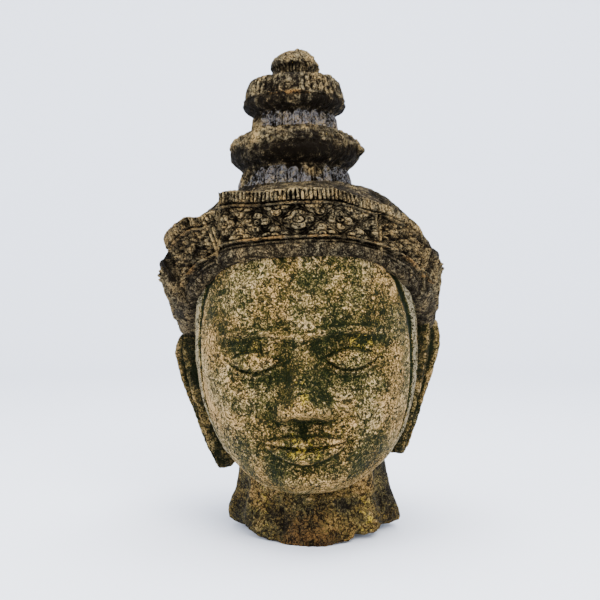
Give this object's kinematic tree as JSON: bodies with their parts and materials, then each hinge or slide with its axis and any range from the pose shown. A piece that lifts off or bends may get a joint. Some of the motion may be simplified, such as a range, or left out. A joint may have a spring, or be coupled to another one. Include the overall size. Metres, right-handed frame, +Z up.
{
  "type": "vishnu bust",
  "caption": "Cast bronze bust of a crowned deity: calm face, long ears, panelled diadem, stepped crown with finial, and a short neck broken off below, standing on its own foot.",
  "frame": {"origin": "centre of the neck's flat foot, on the plane the bust stands on", "axes": "+Z up towards the crown's finial, -Y out of the face, +X towards the bust's own left ear"},
  "size_m": [0.1822, 0.1717, 0.2998],
  "materials": {
    "aged_bronze": "dark green-black patina under sandy tan earth, rough, with bare gold traces on the raised places"
  },
  "bodies": {
    "root": {"vishnu_bust": "aged_bronze"}
  },
  "joints": []
}
